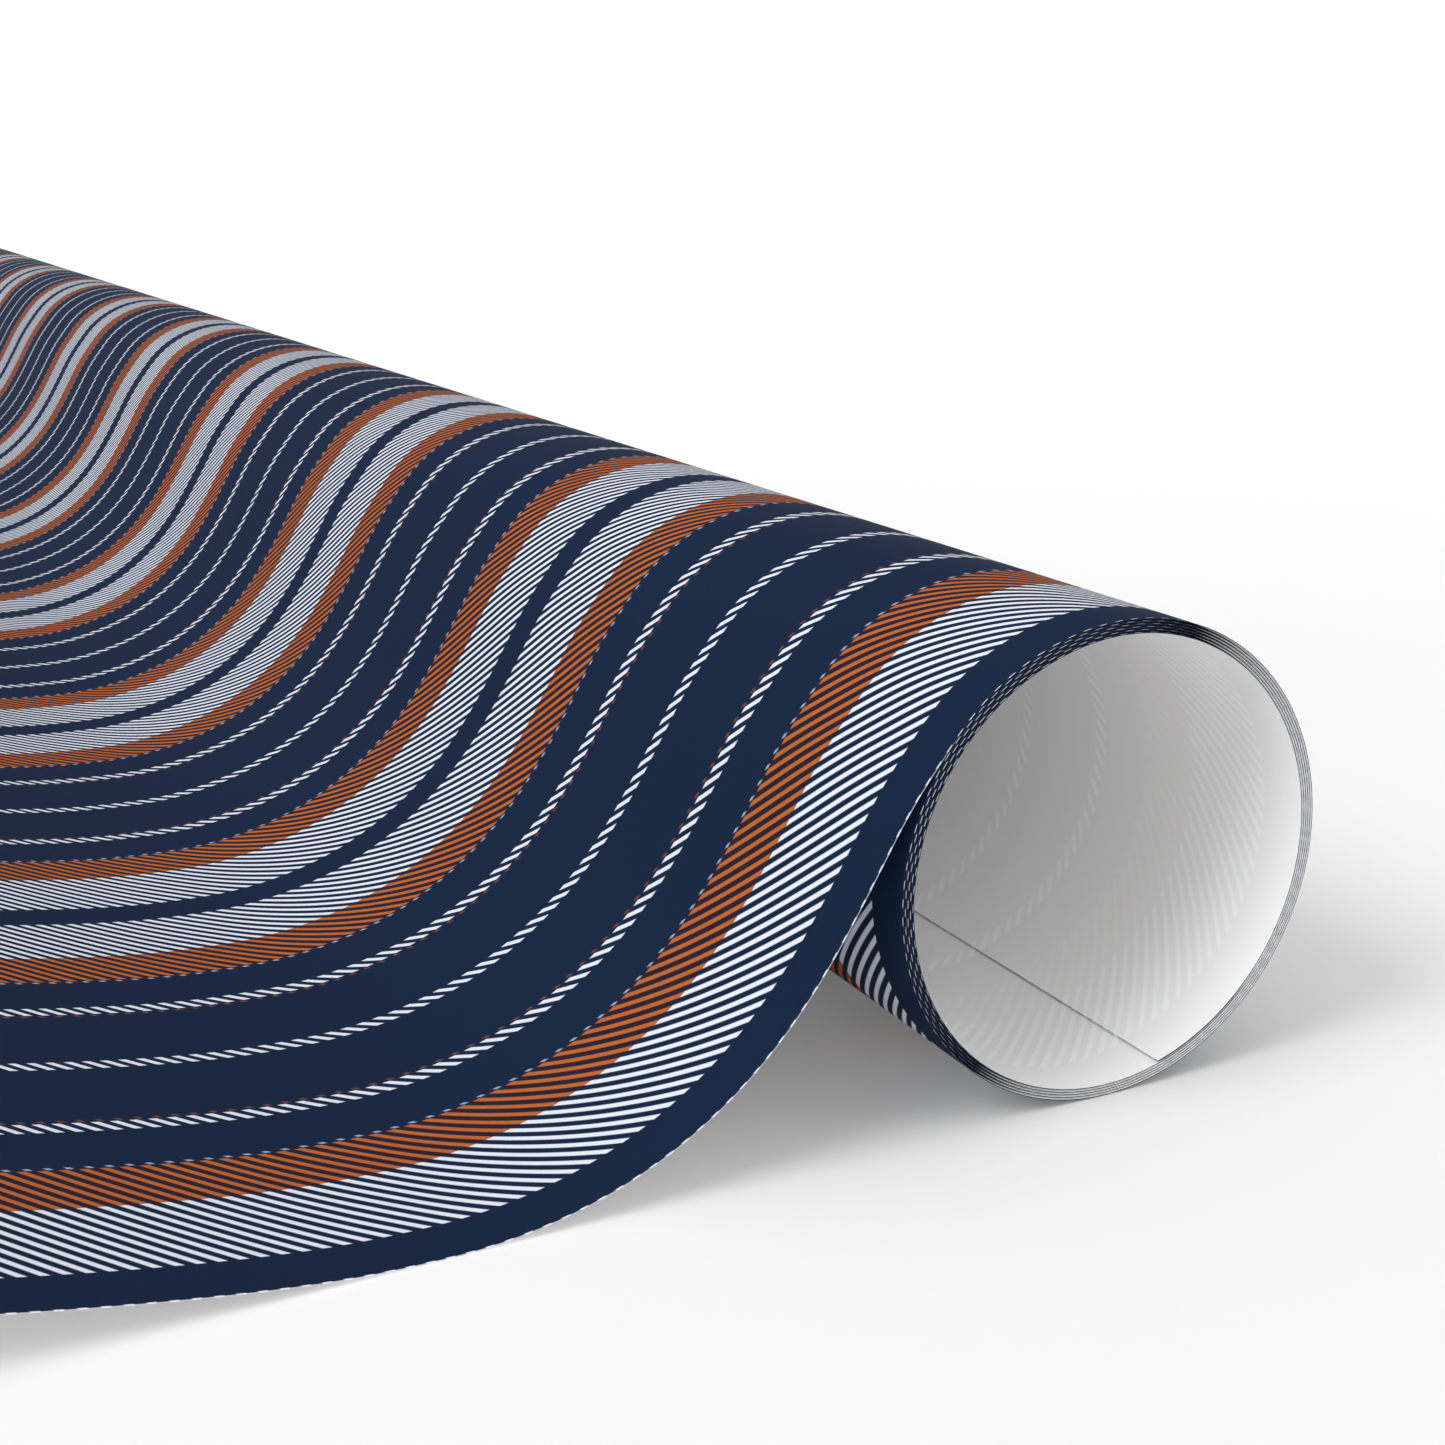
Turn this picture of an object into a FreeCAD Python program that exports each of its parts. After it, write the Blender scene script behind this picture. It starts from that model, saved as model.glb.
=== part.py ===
# Wrapping paper roll: one printed sheet, wound without a core, with its outer
# end drawn off as a lead that lies on the table.  Millimetres.
# +Y is the roll axis, +Z is up, the lead runs towards -X, the origin is the
# centre of the footprint on the table.
import FreeCAD, Part
import os
import math
import Sketcher

V = FreeCAD.Vector
doc = FreeCAD.newDocument("wrapping_paper_roll")
sheet = doc.addObject("Spreadsheet::Sheet", "Dimensions")

# lengths in mm, angles in degrees
values = [
    ("sheet_width", 762.0),        # along the roll axis
    ("paper_thickness", 0.10),
    ("turn_pitch", 0.25),          # paper plus the air between two turns
    ("inner_radius", 21.0),        # bare inside of the first turn
    ("seam_angle", -73.6),         # inner free edge, from +X towards +Z
    ("takeoff_angle", 140.0),      # where the lead leaves the roll
    ("whole_turns", 5.0),          # whole turns before the last part turn
    ("tail_length", 10.0),         # loose inner end of the sheet, along the arc
    ("hinge_gap", 0.08),           # slit at every bending line
]
# each span of the lead: its length along the sheet, and its slope below level
lead = [
    (7.00, 51.99), (6.66, 60.13), (5.48, 59.47), (4.85, 56.26), (4.46, 51.50),
    (4.33, 45.66), (4.27, 39.42), (4.23, 32.99), (4.20, 26.45), (4.34, 19.69),
    (4.49, 13.29), (4.79, 6.936), (5.06, 0.0), (5.28, -2.37), (5.78, -6.09),
    (6.15, -8.45), (6.23, -9.90), (6.32, -11.20), (6.39, -12.25), (6.43, -13.15),
    (6.46, -13.95), (7.00, -14.67), (7.30, -15.33), (9.80, -16.02),
]
row = 1
for name, value in values:
    sheet.set("A%d" % row, name)
    sheet.set("B%d" % row, "%.6g" % value)
    sheet.setAlias("B%d" % row, name)
    row += 1
for index, (length, slope) in enumerate(lead, 1):
    for name, value in (("lead_length_%02d" % index, length),
                        ("lead_slope_%02d" % index, slope)):
        sheet.set("A%d" % row, name)
        sheet.set("B%d" % row, "%.6g" % value)
        sheet.setAlias("B%d" % row, name)
        row += 1
doc.recompute()


def cell(name):
    return float(sheet.get(name))


width = cell("sheet_width")
paper = cell("paper_thickness")
pitch = cell("turn_pitch")
inner = cell("inner_radius")
seam = cell("seam_angle")
takeoff = cell("takeoff_angle")
turns = int(cell("whole_turns"))
tail = cell("tail_length")
gap = cell("hinge_gap")
half = pitch / 2.0
total = turns * 360.0 + (takeoff - seam)


def unit(angle):
    a = math.radians(angle)
    return (math.cos(a), math.sin(a))


def centre(k):
    # the spiral is half turns struck from two centres, half a pitch apart
    if k % 2 == 0:
        return (0.0, 0.0)
    return (half * unit(seam)[0], half * unit(seam)[1])


def spiral(turned, offset, k=None):
    # point on the spiral after turning so far from the inner free edge
    if k is None:
        k = int(turned // 180)
    c = centre(k)
    r = inner + k * half + offset
    d = unit(seam + turned)
    return (c[0] + r * d[0], c[1] + r * d[1])


# the roll stands on the lowest point of its outer turn
lowest = 0.0
for k in range(int(total // 180) - 2, int(total // 180) + 1):
    low_turned = (-90.0 - seam) % 360.0
    while low_turned < k * 180:
        low_turned += 360.0
    if k * 180 <= low_turned <= min((k + 1) * 180, total):
        lowest = min(lowest, centre(k)[1] - (inner + k * half + paper))
axis_height = -lowest

# bending lines of the lead, on the middle of the paper
start = spiral(total, paper / 2.0)
bends = [(start[0], start[1] + axis_height)]
for index in range(1, len(lead) + 1):
    length = cell("lead_length_%02d" % index)
    slope = math.radians(cell("lead_slope_%02d" % index))
    x, z = bends[-1]
    bends.append((x - length * math.cos(slope), z - length * math.sin(slope)))

# footprint centre
right = centre(int(total // 180) - 1)[0] + inner + (int(total // 180) - 1) * half + paper
last_slope = math.radians(cell("lead_slope_%02d" % len(lead)))
left = bends[-1][0] - paper / 2.0 * abs(math.sin(last_slope))
shift = -(left + right) / 2.0


def span(begin, end):
    # solid between two turned angles of the spiral, in patches of 30 degrees
    cuts = [begin]
    mark = 30.0 * math.floor(begin / 30.0) + 30.0
    while mark < end - 1e-6:
        if mark > begin + 1e-6:
            cuts.append(mark)
        mark += 30.0
    cuts.append(end)

    def at(turned, offset, k):
        x, z = spiral(turned, offset, k)
        return V(x, -width / 2.0, z)

    edges = []
    for offset in (0.0, paper):
        run = []
        for a, b in zip(cuts[:-1], cuts[1:]):
            k = int(((a + b) / 2.0) // 180)
            run.append(Part.Arc(at(a, offset, k), at((a + b) / 2.0, offset, k),
                                at(b, offset, k)).toShape())
        edges.append(run)
    k0 = int(((cuts[0] + cuts[1]) / 2.0) // 180)
    k1 = int(((cuts[-2] + cuts[-1]) / 2.0) // 180)
    first = Part.LineSegment(at(cuts[0], paper, k0), at(cuts[0], 0.0, k0)).toShape()
    last = Part.LineSegment(at(cuts[-1], 0.0, k1), at(cuts[-1], paper, k1)).toShape()
    wire = Part.Wire(Part.__sortEdges__(edges[0] + [last] + edges[1] + [first]))
    face = Part.Face(wire)
    solid = face.extrude(V(0, width, 0))
    if solid.Volume < 0:
        solid.reverse()
    return solid


parts = []

# the wound turns, from the tail's bending line to the lead's
slit = math.degrees(gap / 2.0 / (inner + paper / 2.0))
tail_turned = math.degrees(tail / (inner + paper / 2.0))
slit_out = math.degrees(gap / 2.0 / (inner + total / 360.0 * pitch))
wound = doc.addObject("Part::Feature", "wound_turns")
wound.Shape = span(tail_turned + slit, total - slit_out)
wound.Placement = FreeCAD.Placement(V(shift, 0, axis_height), FreeCAD.Rotation())
wound.Label = "wound_turns"
parts.append(wound)

# the loose inner end of the sheet, from its free edge to its bending line
loose = doc.addObject("Part::Feature", "inner_tail")
loose.Shape = span(0.0, tail_turned - slit)
loose.Placement = FreeCAD.Placement(V(shift, 0, axis_height), FreeCAD.Rotation())
loose.Label = "inner_tail"
parts.append(loose)


def plane(body, role):
    for feature in body.Origin.OriginFeatures:
        if feature.Role == role:
            return feature
    raise RuntimeError("no plane " + role)


def strip(index):
    # flat span of paper between two bending lines, drawn in section and padded
    name = "lead_%02d" % index
    body = doc.addObject("PartDesign::Body", name + "_body")
    sketch = body.newObject("Sketcher::SketchObject", name + "_section")
    sketch.AttachmentSupport = [(plane(body, "XZ_Plane"), "")]
    sketch.MapMode = "FlatFace"
    length = cell("lead_length_%02d" % index)
    is_last = index == len(lead)
    a = -gap / 2.0
    b = -(length if is_last else length - gap / 2.0)
    lo, hi = -paper / 2.0, paper / 2.0
    corners = [V(b, lo, 0), V(a, lo, 0), V(a, hi, 0), V(b, hi, 0)]
    for i in range(4):
        sketch.addGeometry(Part.LineSegment(corners[i], corners[(i + 1) % 4]), False)
    for i in range(4):
        sketch.addConstraint(Sketcher.Constraint("Coincident", i, 2, (i + 1) % 4, 1))
    sketch.addConstraint(Sketcher.Constraint("Horizontal", 0))
    sketch.addConstraint(Sketcher.Constraint("Horizontal", 2))
    sketch.addConstraint(Sketcher.Constraint("Vertical", 1))
    sketch.addConstraint(Sketcher.Constraint("Vertical", 3))
    c = sketch.addConstraint(Sketcher.Constraint("DistanceX", 0, 1, 0, 2, a - b))
    sketch.renameConstraint(c, "along")
    tail_end = "0.5" if is_last else "1"
    sketch.setExpression("Constraints.along",
                         "<<Dimensions>>.lead_length_%02d * 1 mm - <<Dimensions>>.hinge_gap * %s * 1 mm"
                         % (index, tail_end))
    c = sketch.addConstraint(Sketcher.Constraint("DistanceY", 1, 1, 1, 2, paper))
    sketch.renameConstraint(c, "thick")
    sketch.setExpression("Constraints.thick", "<<Dimensions>>.paper_thickness * 1 mm")
    c = sketch.addConstraint(Sketcher.Constraint("DistanceX", 0, 2, -1, 1, gap / 2.0))
    sketch.renameConstraint(c, "clear")
    sketch.setExpression("Constraints.clear", "<<Dimensions>>.hinge_gap * 0.5 mm")
    c = sketch.addConstraint(Sketcher.Constraint("DistanceY", 0, 2, -1, 1, paper / 2.0))
    sketch.renameConstraint(c, "under")
    sketch.setExpression("Constraints.under", "<<Dimensions>>.paper_thickness * 0.5 mm")
    pad = body.newObject("PartDesign::Pad", name + "_pad")
    pad.Profile = sketch
    pad.Length = width
    pad.setExpression("Length", "<<Dimensions>>.sheet_width * 1 mm")
    if "SideType" in pad.PropertiesList:
        pad.SideType = "Symmetric"
    else:
        pad.Midplane = True
    sketch.Visibility = False
    body.Tip = pad
    x, z = bends[index - 1]
    slope = cell("lead_slope_%02d" % index)
    body.Placement = FreeCAD.Placement(V(x + shift, 0, z),
                                       FreeCAD.Rotation(V(0, -1, 0), slope))
    body.Label = name
    return body


for index in range(1, len(lead) + 1):
    parts.append(strip(index))

sheet.Label = "Dimensions"
doc.recompute()

os.makedirs("parts", exist_ok=True)
for obj in doc.Objects:
    state = [str(s) for s in obj.State]
    if "Invalid" in state or "Error" in state:
        raise RuntimeError("%s is %s" % (obj.Label, state))
box = None
for obj in parts:
    shape = obj.Shape
    if shape.isNull() or not shape.isValid():
        raise RuntimeError("bad shape: " + obj.Label)
    shape.exportStep("parts/%s.step" % obj.Label)
    box = shape.BoundBox if box is None else box.united(shape.BoundBox) if hasattr(box, "united") else box
    if obj.Label in ("wound_turns", "inner_tail", "lead_01", "lead_13", "lead_24"):
        b = shape.BoundBox
        print("%-12s volume %9.2f  x %.3f %.3f  y %.1f %.1f  z %.4f %.3f" % (
            obj.Label, shape.Volume, b.XMin, b.XMax, b.YMin, b.YMax, b.ZMin, b.ZMax))
print("axis x %.4f z %.4f" % (shift, axis_height))
wound_length = sum(math.radians(min(180.0, total - 180.0 * k)) * (inner + k * half + paper / 2.0)
                   for k in range(int(total // 180) + 1))
lead_length = sum(cell("lead_length_%02d" % i) for i in range(1, len(lead) + 1))
print("turns %.3f  wound length %.1f  lead %.1f  sheet length %.1f" % (
    total / 360.0, wound_length, lead_length, wound_length + lead_length))
for index, (x, z) in enumerate(bends):
    print("bend %02d  x %.4f  z %.4f" % (index + 1, x + shift, z))
tx, tz = spiral(tail_turned, paper / 2.0)
print("tail bend x %.4f z %.4f" % (tx + shift, tz + axis_height))
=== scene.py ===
import math
import bpy
import bmesh
import numpy as np
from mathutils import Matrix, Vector


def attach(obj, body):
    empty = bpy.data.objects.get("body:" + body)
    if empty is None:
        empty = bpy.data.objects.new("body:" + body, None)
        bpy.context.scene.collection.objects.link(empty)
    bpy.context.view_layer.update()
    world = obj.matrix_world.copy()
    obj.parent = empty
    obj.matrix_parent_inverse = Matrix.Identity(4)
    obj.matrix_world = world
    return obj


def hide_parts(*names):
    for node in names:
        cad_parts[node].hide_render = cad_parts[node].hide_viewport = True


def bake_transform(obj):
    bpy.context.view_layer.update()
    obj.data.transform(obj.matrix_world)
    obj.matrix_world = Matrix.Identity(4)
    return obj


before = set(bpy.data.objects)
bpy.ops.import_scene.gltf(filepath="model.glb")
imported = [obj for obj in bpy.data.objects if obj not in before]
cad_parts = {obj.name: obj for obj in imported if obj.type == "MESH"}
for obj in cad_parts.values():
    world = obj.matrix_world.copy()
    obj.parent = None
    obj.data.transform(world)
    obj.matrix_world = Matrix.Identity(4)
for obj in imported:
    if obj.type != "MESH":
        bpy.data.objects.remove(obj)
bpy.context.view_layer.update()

# ---------------------------------------------------------------- dimensions
# Metres, row frame: +Y along the roll, +Z up, the lead towards -X.
MM = 0.001
WIDTH = 762.0 * MM
PAPER = 0.10 * MM            # sheet in the frame
SHELL = 0.085 * MM           # sheet as shown
PITCH = 0.25 * MM
INNER = 21.0 * MM
SEAM = -73.6
TAKEOFF = 140.0
TURNS = 5
TAIL = 10.0 * MM
LEAD = [
    (7.00, 51.99), (6.66, 60.13), (5.48, 59.47), (4.85, 56.26), (4.46, 51.50),
    (4.33, 45.66), (4.27, 39.42), (4.23, 32.99), (4.20, 26.45), (4.34, 19.69),
    (4.49, 13.29), (4.79, 6.936), (5.06, 0.0), (5.28, -2.37), (5.78, -6.09),
    (6.15, -8.45), (6.23, -9.90), (6.32, -11.20), (6.39, -12.25), (6.43, -13.15),
    (6.46, -13.95), (7.00, -14.67), (7.30, -15.33), (9.80, -16.02),
]
HALF = PITCH / 2.0
TOTAL = TURNS * 360.0 + (TAKEOFF - SEAM)


def unit(angle):
    a = math.radians(angle)
    return np.array((math.cos(a), math.sin(a)))


def centre(k):
    return np.zeros(2) if k % 2 == 0 else HALF * unit(SEAM)


def spiral(turned, offset):
    k = int(turned // 180)
    return centre(k) + (INNER + k * HALF + offset) * unit(SEAM + turned)


# axis height: the roll stands on the lowest point of its outer turn
lowest = 0.0
for k in range(int(TOTAL // 180) - 2, int(TOTAL // 180) + 1):
    t = (-90.0 - SEAM) % 360.0
    while t < k * 180:
        t += 360.0
    if k * 180 <= t <= min((k + 1) * 180, TOTAL):
        lowest = min(lowest, centre(k)[1] - (INNER + k * HALF + PAPER))
AXIS_Z = -lowest

# bending lines of the lead on the middle of the paper
p0 = spiral(TOTAL, PAPER / 2.0)
bends = [np.array((p0[0], p0[1] + AXIS_Z))]
for length, slope in LEAD:
    a = math.radians(slope)
    bends.append(bends[-1] - length * MM * np.array((math.cos(a), math.sin(a))))
kr = int(TOTAL // 180) - 1
right = centre(kr)[0] + INNER + kr * HALF + PAPER
left = bends[-1][0] - PAPER / 2.0 * abs(math.sin(math.radians(LEAD[-1][1])))
SHIFT = -(left + right) / 2.0
OFF = np.array((SHIFT, AXIS_Z))
bends = [b + np.array((SHIFT, 0.0)) for b in bends]


def mid_sheet(turned):
    """Middle of the paper on the spiral, and the way its printed side faces."""
    return spiral(turned, PAPER / 2.0) + OFF, unit(SEAM + turned)


# ------------------------------------------------------------ the whole curve
# Each line runs along the sheet, from the inner free edge towards the outer.
tail_turned = math.degrees(TAIL / (INNER + PAPER / 2.0))
TAIL_END = tail_turned + 9.0                       # the tail piece ends here
LEAD_START = TOTAL - math.degrees(3.5 * MM / (INNER + TOTAL / 360.0 * PITCH))


def run_spiral(a, b, step, piece):
    n = max(2, int(round((b - a) / step)))
    return [(*mid_sheet(a + (b - a) * i / n), piece) for i in range(n + 1)]


tail_line = run_spiral(0.0, TAIL_END, 1.5, "tail")
wound_line = run_spiral(TAIL_END, LEAD_START, 2.0, "wound")

mids = [None] + [(bends[i - 1] + bends[i]) / 2.0 for i in range(1, len(bends))]


def normal_of(tangent):
    # the printed side is to the right of the way from the roll to the free end
    t = tangent / np.linalg.norm(tangent)
    return np.array((t[1], -t[0])) * 1.0


lead_lines = []
N_SUB = 12
start_p, start_n = mid_sheet(LEAD_START)
start_t = np.array((-start_n[1], start_n[0]))
end_t = (bends[1] - bends[0]) / np.linalg.norm(bends[1] - bends[0])
line = []
reach = 3.5 * MM + np.linalg.norm(mids[1] - bends[0])
for i in range(N_SUB + 1):
    u = i / N_SUB
    h00, h10 = 2 * u**3 - 3 * u**2 + 1, u**3 - 2 * u**2 + u
    h01, h11 = -2 * u**3 + 3 * u**2, u**3 - u**2
    p = h00 * start_p + h10 * reach * start_t + h01 * mids[1] + h11 * reach * end_t
    d = ((6 * u**2 - 6 * u) * start_p + (3 * u**2 - 4 * u + 1) * reach * start_t
         + (6 * u - 6 * u**2) * mids[1] + (3 * u**2 - 2 * u) * reach * end_t)
    line.append((p, normal_of(d)))
lead_lines.append(line)
for k in range(2, len(LEAD) + 1):
    a, v, b = mids[k - 1], bends[k - 1], mids[k]
    line = []
    for i in range(N_SUB + 1):
        u = i / N_SUB
        p = (1 - u) ** 2 * a + 2 * u * (1 - u) * v + u * u * b
        d = 2 * (1 - u) * (v - a) + 2 * u * (b - v)
        line.append((p, normal_of(d)))
    if k == len(LEAD):
        last_n = line[-1][1]
        for i in range(1, 5):
            line.append((b + (bends[-1] - b) * i / 4.0, last_n))
    lead_lines.append(line)
# the printed side of the lead must agree with the printed side of the roll
if float(np.dot(lead_lines[0][0][1], start_n)) < 0:
    lead_lines = [[(p, -n) for p, n in ln] for ln in lead_lines]


# ------------------------------------------------------------------ materials
def srgb(r, g, b):
    def f(c):
        c /= 255.0
        return c / 12.92 if c <= 0.04045 else ((c + 0.055) / 1.055) ** 2.4
    return (f(r), f(g), f(b), 1.0)


NAVY = srgb(20, 34, 58)
WHITE = srgb(207, 212, 222)
ORANGE = srgb(169, 92, 46)
ORANGE_GAP = srgb(38, 30, 43)
DASH = srgb(140, 156, 182)
RUST = srgb(104, 62, 50)
TWILL = 1.638            # mm along the sheet
PHASE = 0.5 - 9.57 / TWILL   # a printed line crosses the sheet here, in twill repeats


class Nodes:
    def __init__(self, name):
        self.mat = bpy.data.materials.new(name)
        self.mat.use_nodes = True
        self.tree = self.mat.node_tree
        self.tree.nodes.clear()

    def add(self, kind, **values):
        n = self.tree.nodes.new(kind)
        for key, value in values.items():
            setattr(n, key, value)
        return n

    def link(self, a, b):
        self.tree.links.new(a, b)

    def math(self, op, a, b=None, c=None, clamp=False):
        n = self.add("ShaderNodeMath", operation=op, use_clamp=clamp)
        for i, x in enumerate((a, b, c)):
            if x is None:
                continue
            if isinstance(x, (int, float)):
                n.inputs[i].default_value = x
            else:
                self.link(x, n.inputs[i])
        return n.outputs[0]

    def mix(self, fac, a, b):
        n = self.add("ShaderNodeMix", data_type="RGBA")
        for socket, x in ((n.inputs[0], fac), (n.inputs[6], a), (n.inputs[7], b)):
            if isinstance(x, (int, float)):
                socket.default_value = x
            elif isinstance(x, tuple):
                socket.default_value = x
            else:
                self.link(x, socket)
        return n.outputs[2]

    def edge(self, x, at, soft):
        """0 below at, 1 above it, with a soft step of that width."""
        return self.math("MULTIPLY_ADD", x, 1.0 / soft, 0.5 - at / soft, clamp=True)

    def band(self, x, a, b, soft):
        up = self.edge(x, a, soft)
        down = self.edge(x, b, soft)
        return self.math("SUBTRACT", up, down, clamp=True)


def pattern(n, soft=0.10):
    """Print on the sheet. Returns (colour, twill mask, white mask, u, s) with u and s in mm."""
    uv = n.add("ShaderNodeUVMap", uv_map="sheet")
    sep = n.add("ShaderNodeSeparateXYZ")
    n.link(uv.outputs[0], sep.inputs[0])
    u = n.math("MULTIPLY", sep.outputs[0], 1000.0)
    s = n.math("MULTIPLY", sep.outputs[1], 1000.0)
    # stripes mirror about planes 41.25 mm apart
    t = n.math("PINGPONG", n.math("ADD", u, -2.60 + 82.5), 41.25)
    # twill: lines at 45 degrees, one direction over the whole sheet
    ph = n.math("FRACT", n.math("ADD", n.math("MULTIPLY", n.math("SUBTRACT", s, u), 1.0 / TWILL), PHASE + 1000.0))
    tw = n.math("PINGPONG", ph, 0.5)                 # 0 .. 0.5 .. 0
    line = n.edge(tw, 0.280, 0.09)                    # 1 inside a printed line
    gapline = n.math("SUBTRACT", 1.0, n.edge(tw, 0.15, 0.10))
    white = n.band(t, 2.52, 12.96, soft)
    orange = n.band(t, 12.96, 19.84, soft)
    dash = n.band(t, 19.96, 20.28, soft)
    thinw = n.band(t, 27.05, 28.82, soft)
    rust = n.band(t, 28.98, 29.36, soft)
    mid = n.edge(t, 40.42, soft)
    # a sliver of the next band's lines is left along the near edge
    sliver = n.math("SUBTRACT", 1.0, n.edge(u, 0.055, 0.04))
    white = n.math("ADD", white, sliver, clamp=True)
    colour = n.mix(orange, NAVY, ORANGE_GAP)
    colour = n.mix(n.math("MULTIPLY", orange, line), colour, ORANGE)
    whites = n.math("ADD", n.math("ADD", white, thinw), mid, clamp=True)
    wmask = n.math("MULTIPLY", whites, line)
    colour = n.mix(wmask, colour, WHITE)
    dmask = n.math("MULTIPLY", dash, gapline)
    colour = n.mix(dmask, colour, DASH)
    colour = n.mix(n.math("MULTIPLY", rust, gapline), colour, RUST)
    ink = n.math("MULTIPLY", n.math("ADD", n.math("ADD", whites, orange), dash, clamp=True), line)
    return colour, line, wmask, u, s, ink


def finish_paper(n, colour, rough_lo, rough_hi, bump, specular, ink=None, ink_height=0.0, grain=900.0):
    """Paper shader: fibre grain in roughness and height, and a very slow change of tone over the sheet."""
    uv = n.add("ShaderNodeUVMap", uv_map="sheet")
    fibre = n.add("ShaderNodeTexNoise")
    fibre.inputs["Scale"].default_value = grain
    fibre.inputs["Detail"].default_value = 4.0
    fibre.inputs["Roughness"].default_value = 0.6
    n.link(uv.outputs[0], fibre.inputs["Vector"])
    cloud = n.add("ShaderNodeTexNoise")
    cloud.inputs["Scale"].default_value = 22.0
    cloud.inputs["Detail"].default_value = 2.0
    n.link(uv.outputs[0], cloud.inputs["Vector"])
    rough = n.math("MULTIPLY_ADD", fibre.outputs[0], rough_hi - rough_lo, rough_lo)
    # slight change of ink density over the sheet
    tone = n.math("MULTIPLY_ADD", cloud.outputs[0], 0.06, 0.97)
    tone = n.math("MULTIPLY_ADD", fibre.outputs[0], 0.03, n.math("ADD", tone, -0.015))
    shade = n.add("ShaderNodeVectorMath", operation="SCALE")
    n.link(colour, shade.inputs[0])
    n.link(tone, shade.inputs["Scale"])
    b = n.add("ShaderNodeBsdfPrincipled")
    n.link(shade.outputs[0], b.inputs["Base Color"])
    n.link(rough, b.inputs["Roughness"])
    b.inputs["Specular IOR Level"].default_value = specular
    b.inputs["IOR"].default_value = 1.45
    height = n.math("MULTIPLY", fibre.outputs[0], 0.004)
    if ink is not None:
        height = n.math("ADD", height, n.math("MULTIPLY", ink, ink_height))
    bp = n.add("ShaderNodeBump")
    bp.inputs["Strength"].default_value = bump
    bp.inputs["Distance"].default_value = 0.001
    n.link(height, bp.inputs["Height"])
    n.link(bp.outputs[0], b.inputs["Normal"])
    out = n.add("ShaderNodeOutputMaterial")
    n.link(b.outputs[0], out.inputs[0])
    return b


def printed_material():
    n = Nodes("gift_wrap_print")
    colour, line, wmask, u, s, ink = pattern(n)
    finish_paper(n, colour, 0.56, 0.68, 0.22, 0.02, ink=ink, ink_height=0.003)
    return n.mat


def back_material():
    # the bare white back lets the print show through faintly
    n = Nodes("gift_wrap_back")
    colour, line, wmask, u, s, ink = pattern(n, soft=0.5)
    white = srgb(251, 251, 251)
    through = n.mix(0.11, white, colour)
    b = finish_paper(n, through, 0.62, 0.74, 0.15, 0.08, grain=1100.0)
    # painted light: the back faces glow close to the open end, standing in for the light that gets into the
    # narrow gaps between the turns and through the thin paper
    b.inputs["Emission Color"].default_value = (1.0, 1.0, 1.0, 1.0)
    gap_glow_ramp = n.add("ShaderNodeMapRange")
    gap_glow_ramp.inputs["From Min"].default_value = 0.3
    gap_glow_ramp.inputs["From Max"].default_value = 0.9
    gap_glow_ramp.inputs["To Min"].default_value = 0.36
    gap_glow_ramp.inputs["To Max"].default_value = 0.0
    n.link(u, gap_glow_ramp.inputs["Value"])
    # painted gap glow, only on the sheet beyond -618 mm along it
    painted_gap_glow = n.math("MULTIPLY", gap_glow_ramp.outputs[0], n.edge(s, -618.0, 4.0))
    n.link(painted_gap_glow, b.inputs["Emission Strength"])
    return n.mat


def edge_material():
    # cut edge: paper core, with the print wrapped a little over it
    n = Nodes("gift_wrap_edge")
    colour, line, wmask, u, s, ink = pattern(n)
    core = n.mix(wmask, srgb(176, 179, 187), srgb(222, 224, 229))
    # painted shade: on the roll's end faces the cut edges are dark navy, standing in for the shade deep in the
    # gaps between the turns; the free lead shows its light core
    free = n.edge(s, 2.0, 4.0)
    inside = n.band(u, 0.5, WIDTH / MM - 0.5, 0.5)
    # dark navy here is painted gap shade, not ink
    shown = n.mix(n.math("MAXIMUM", free, inside), srgb(34, 40, 56), core)
    finish_paper(n, shown, 0.6, 0.75, 0.10, 0.05, grain=2500.0)
    return n.mat


PRINT, BACK, EDGE = printed_material(), back_material(), edge_material()


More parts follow.
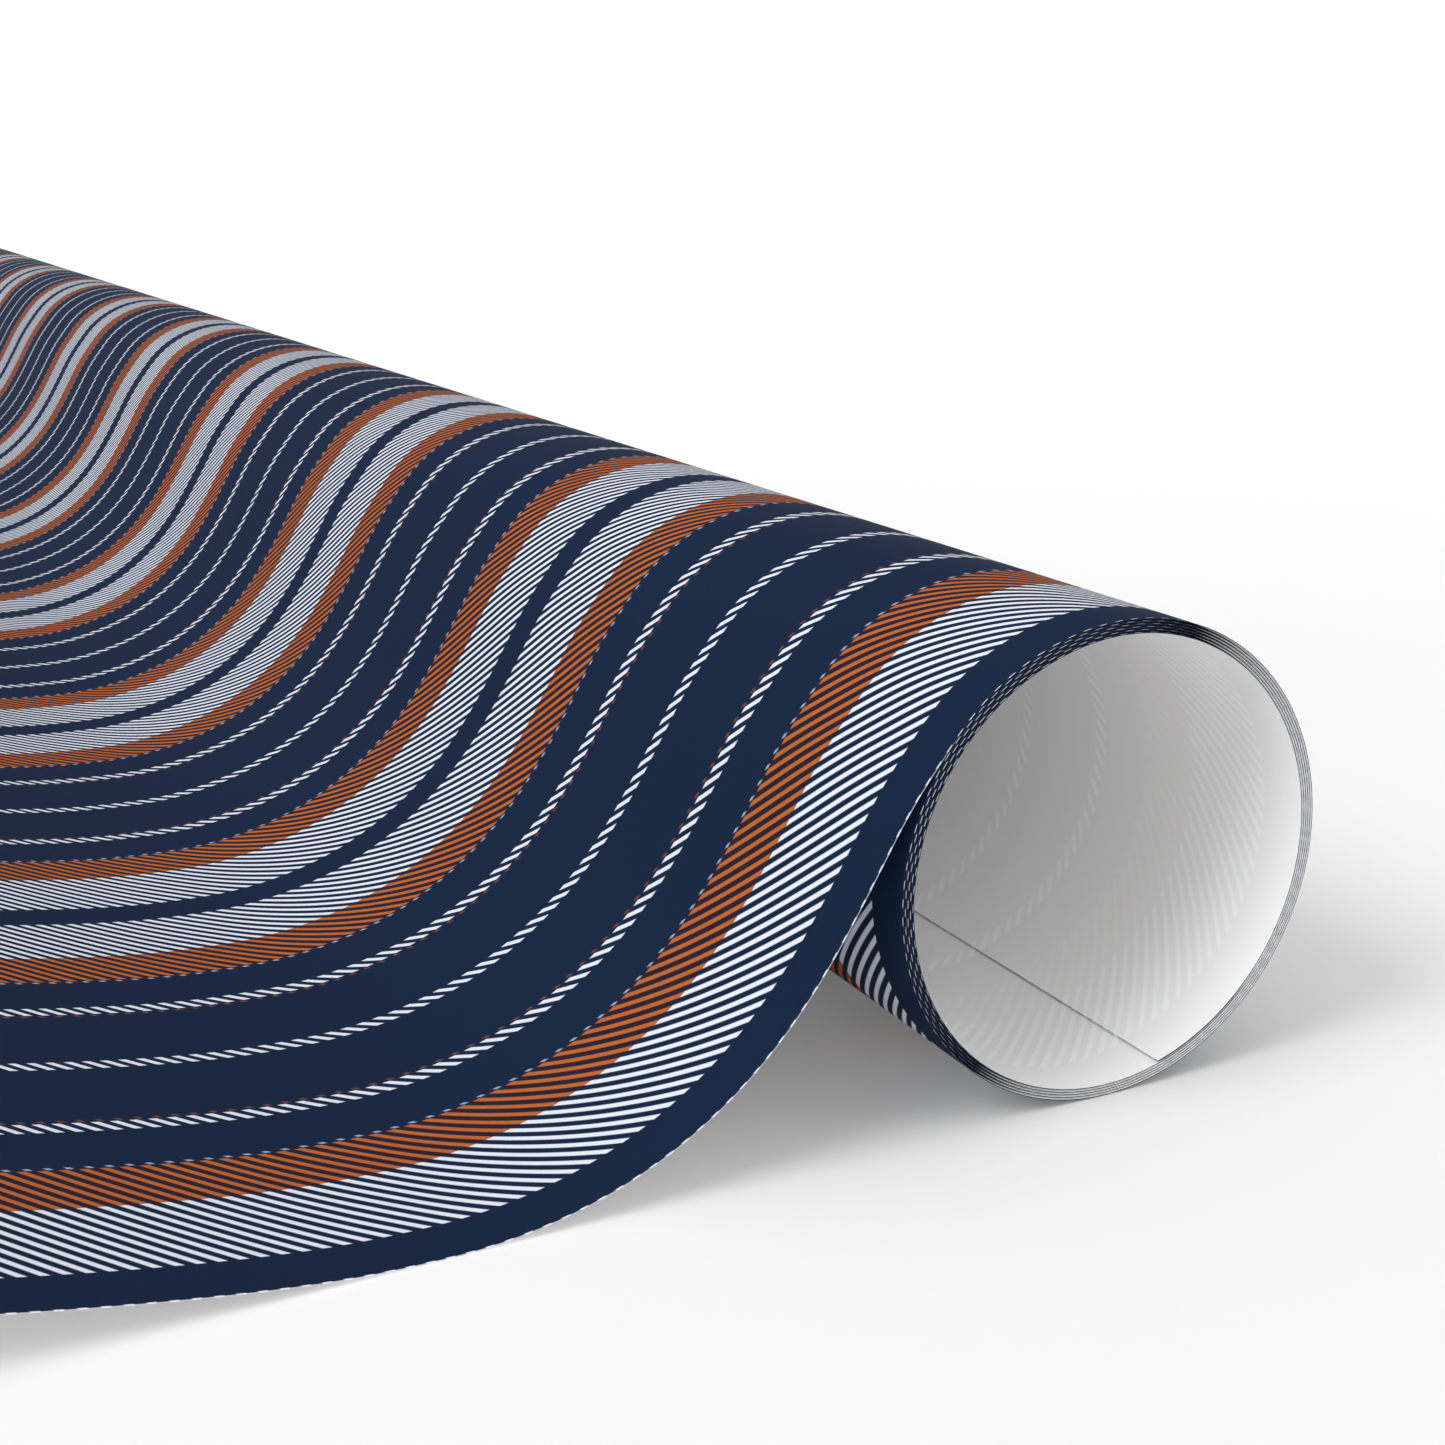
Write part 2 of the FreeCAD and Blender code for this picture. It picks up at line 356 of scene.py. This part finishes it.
# --------------------------------------------------------------------- meshes
def ribbon(name, line, s_from, near_cap=False, far_cap=False, rows=1):
    """A thin shell along a line of (point, normal) pairs. Returns (object, arc length at its end)."""
    pts = [np.array(p) for p, _ in line]
    nrm = [np.array(q) for _, q in line]
    s = [s_from]
    for a, b in zip(pts[:-1], pts[1:]):
        s.append(s[-1] + float(np.linalg.norm(b - a)))
    ys = [-WIDTH / 2.0 + WIDTH * i / rows for i in range(rows + 1)]
    h = SHELL / 2.0
    bm = bmesh.new()
    uv = bm.loops.layers.uv.new("sheet")
    outer, inner = [], []
    for p, q in zip(pts, nrm):
        outer.append([bm.verts.new((p[0] + h * q[0], y, p[1] + h * q[1])) for y in ys])
        inner.append([bm.verts.new((p[0] - h * q[0], y, p[1] - h * q[1])) for y in ys])

    def quad(v, coords, slot, smooth=True):
        f = bm.faces.new(v)
        f.material_index = slot
        f.smooth = smooth
        for loop, c in zip(f.loops, coords):
            loop[uv].uv = c
        return f

    us = [y + WIDTH / 2.0 for y in ys]
    for i in range(len(pts) - 1):
        for j in range(rows):
            quad((outer[i][j], outer[i][j + 1], outer[i + 1][j + 1], outer[i + 1][j]),
                 ((us[j], s[i]), (us[j + 1], s[i]), (us[j + 1], s[i + 1]), (us[j], s[i + 1])), 0)
            quad((inner[i][j], inner[i + 1][j], inner[i + 1][j + 1], inner[i][j + 1]),
                 ((us[j], s[i]), (us[j], s[i + 1]), (us[j + 1], s[i + 1]), (us[j + 1], s[i])), 1)
        quad((outer[i][0], outer[i + 1][0], inner[i + 1][0], inner[i][0]),
             ((0.0, s[i]), (0.0, s[i + 1]), (0.0, s[i + 1]), (0.0, s[i])), 2)
        quad((outer[i][-1], inner[i][-1], inner[i + 1][-1], outer[i + 1][-1]),
             ((WIDTH, s[i]), (WIDTH, s[i]), (WIDTH, s[i + 1]), (WIDTH, s[i + 1])), 2)
    for j in range(rows):
        if near_cap:
            quad((outer[0][j], inner[0][j], inner[0][j + 1], outer[0][j + 1]),
                 ((us[j], s[0]), (us[j], s[0]), (us[j + 1], s[0]), (us[j + 1], s[0])), 2)
        if far_cap:
            quad((outer[-1][j], outer[-1][j + 1], inner[-1][j + 1], inner[-1][j]),
                 ((us[j], s[-1]), (us[j + 1], s[-1]), (us[j + 1], s[-1]), (us[j], s[-1])), 2)
    bm.normal_update()
    # corners between the sheet's faces and its cut edges stay crisp
    for e in bm.edges:
        faces = e.link_faces
        if len(faces) == 2 and faces[0].material_index != faces[1].material_index:
            e.smooth = False
    mesh = bpy.data.meshes.new(name)
    bm.to_mesh(mesh)
    bm.free()
    for m in (PRINT, BACK, EDGE):
        mesh.materials.append(m)
    # the faces must look outwards on the printed side
    obj = bpy.data.objects.new(name, mesh)
    bpy.context.scene.collection.objects.link(obj)
    f = mesh.polygons[0]
    if float(np.dot(np.array((f.normal[0], f.normal[2])), nrm[0])) < 0:
        mesh.flip_normals()
    return obj, s[-1]


def at(p, y=0.0):
    return (float(p[0]), y, float(p[1]))


names = ["lead_%02d" % i for i in range(1, len(LEAD) + 1)]
def arc(line):
    return sum(float(np.linalg.norm(np.array(b[0]) - np.array(a[0]))) for a, b in zip(line[:-1], line[1:]))


# the sheet's length is counted from the take-off line, so it is negative on the roll
S_START = -(arc(tail_line) + arc(wound_line) + 3.5 * MM)
tail, s_now = ribbon("sheet_tail", [(p, q) for p, q, _ in tail_line], S_START, near_cap=True, far_cap=True)
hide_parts("inner_tail")
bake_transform(tail)

wound, s_now = ribbon("sheet_wound", [(p, q) for p, q, _ in wound_line], s_now, near_cap=True, far_cap=True)
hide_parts("wound_turns")
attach(wound, "roll")

for k, line in enumerate(lead_lines, 1):
    piece, s_now = ribbon("sheet_lead_%02d" % k, line, s_now, near_cap=True, far_cap=True)
    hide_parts(names[k - 1])
    a = lead_lines[k - 1][0][0]
    b = mids[k]
    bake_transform(piece)

# ---------------------------------------------------------------------- stage
floor_mesh = bpy.data.meshes.new("floor")
bm = bmesh.new()
R = 6.0
vs = [bm.verts.new((x, y, -0.00005)) for x, y in ((-R, -R), (R, -R), (R, R), (-R, R))]
bm.faces.new(vs)
bm.to_mesh(floor_mesh)
bm.free()
floor = bpy.data.objects.new("floor", floor_mesh)
bpy.context.scene.collection.objects.link(floor)
n = Nodes("floor_white")
fb = n.add("ShaderNodeBsdfPrincipled")
fb.inputs["Base Color"].default_value = (0.695, 0.695, 0.695, 1.0)
fb.inputs["Emission Color"].default_value = (1.0, 1.0, 1.0, 1.0)
# painted light: the floor glows, least near the roll and more away from it, so its shadows stay light and it
# fades into the white backdrop
fg = n.add("ShaderNodeTexCoord")
fv = n.add("ShaderNodeVectorMath", operation="DISTANCE")
n.link(fg.outputs["Object"], fv.inputs[0])
fv.inputs[1].default_value = (0.05, -0.42, 0.0)
floor_glow_ramp = n.add("ShaderNodeMapRange", interpolation_type="SMOOTHSTEP")
floor_glow_ramp.inputs["From Min"].default_value = 0.12
floor_glow_ramp.inputs["From Max"].default_value = 0.75
floor_glow_ramp.inputs["To Min"].default_value = 0.135
floor_glow_ramp.inputs["To Max"].default_value = 0.26
n.link(fv.outputs["Value"], floor_glow_ramp.inputs["Value"])
n.link(floor_glow_ramp.outputs[0], fb.inputs["Emission Strength"])
fb.inputs["Roughness"].default_value = 0.9
fb.inputs["Specular IOR Level"].default_value = 0.1
fo = n.add("ShaderNodeOutputMaterial")
n.link(fb.outputs[0], fo.inputs[0])
floor_mesh.materials.append(n.mat)

scene = bpy.context.scene
world = bpy.data.worlds.new("studio")
world.use_nodes = True
bg = world.node_tree.nodes["Background"]
bg.inputs[0].default_value = (1.0, 1.0, 1.0, 1.0)
# white studio: a bright horizon, dim walls above it and a large soft light overhead
wn = world.node_tree
tc = wn.nodes.new("ShaderNodeTexCoord")
sp = wn.nodes.new("ShaderNodeSeparateXYZ")
mr = wn.nodes.new("ShaderNodeMapRange")
mr.inputs["From Min"].default_value = 0.07
mr.inputs["From Max"].default_value = 0.30
mr.inputs["To Min"].default_value = 0.82
mr.inputs["To Max"].default_value = 0.0
up = wn.nodes.new("ShaderNodeMapRange")
up.inputs["From Min"].default_value = 0.10
up.inputs["From Max"].default_value = 1.0
up.inputs["To Min"].default_value = 0.34
up.inputs["To Max"].default_value = 1.20
both = wn.nodes.new("ShaderNodeMath")
both.operation = "ADD"
wn.links.new(tc.outputs["Generated"], sp.inputs[0])
wn.links.new(sp.outputs[2], mr.inputs["Value"])
wn.links.new(sp.outputs[2], up.inputs["Value"])
wn.links.new(mr.outputs[0], both.inputs[0])
wn.links.new(up.outputs[0], both.inputs[1])
wn.links.new(both.outputs[0], bg.inputs[1])
scene.world = world



def soft_sun(name, direction, energy, spread):
    data = bpy.data.lights.new(name, "SUN")
    data.energy = energy
    data.angle = math.radians(spread)
    o = bpy.data.objects.new(name, data)
    scene.collection.objects.link(o)
    o.rotation_mode = "QUATERNION"
    o.rotation_quaternion = Vector(direction).to_track_quat("-Z", "Y")
    return o


soft_sun("key", (1.0, 0.12, -0.88), 2.02, 29.0)
soft_sun("fill", (0.10, 1.0, -0.05), 1.15, 24.0)

# paper bounces light a long way down the inside of the roll
scene.cycles.diffuse_bounces = 10
scene.cycles.max_bounces = 12

scene.view_settings.view_transform = "Standard"
scene.view_settings.look = "None"
scene.view_settings.exposure = -0.17
scene.view_settings.gamma = 1.0

# --------------------------------------------------------------------- camera
cam_data = bpy.data.cameras.new("camera")
cam_data.lens = 50.0
cam_data.sensor_width = 36.0
cam_data.sensor_fit = "HORIZONTAL"
cam_data.clip_start = 0.01
cam_data.clip_end = 30.0
cam = bpy.data.objects.new("camera", cam_data)
scene.collection.objects.link(cam)
cam.location = (-0.04909, -0.51500, 0.08347)
cam.rotation_mode = "QUATERNION"
cam.rotation_quaternion = Vector((0.42992, 0.85978, -0.27559)).to_track_quat("-Z", "Y")
scene.camera = cam
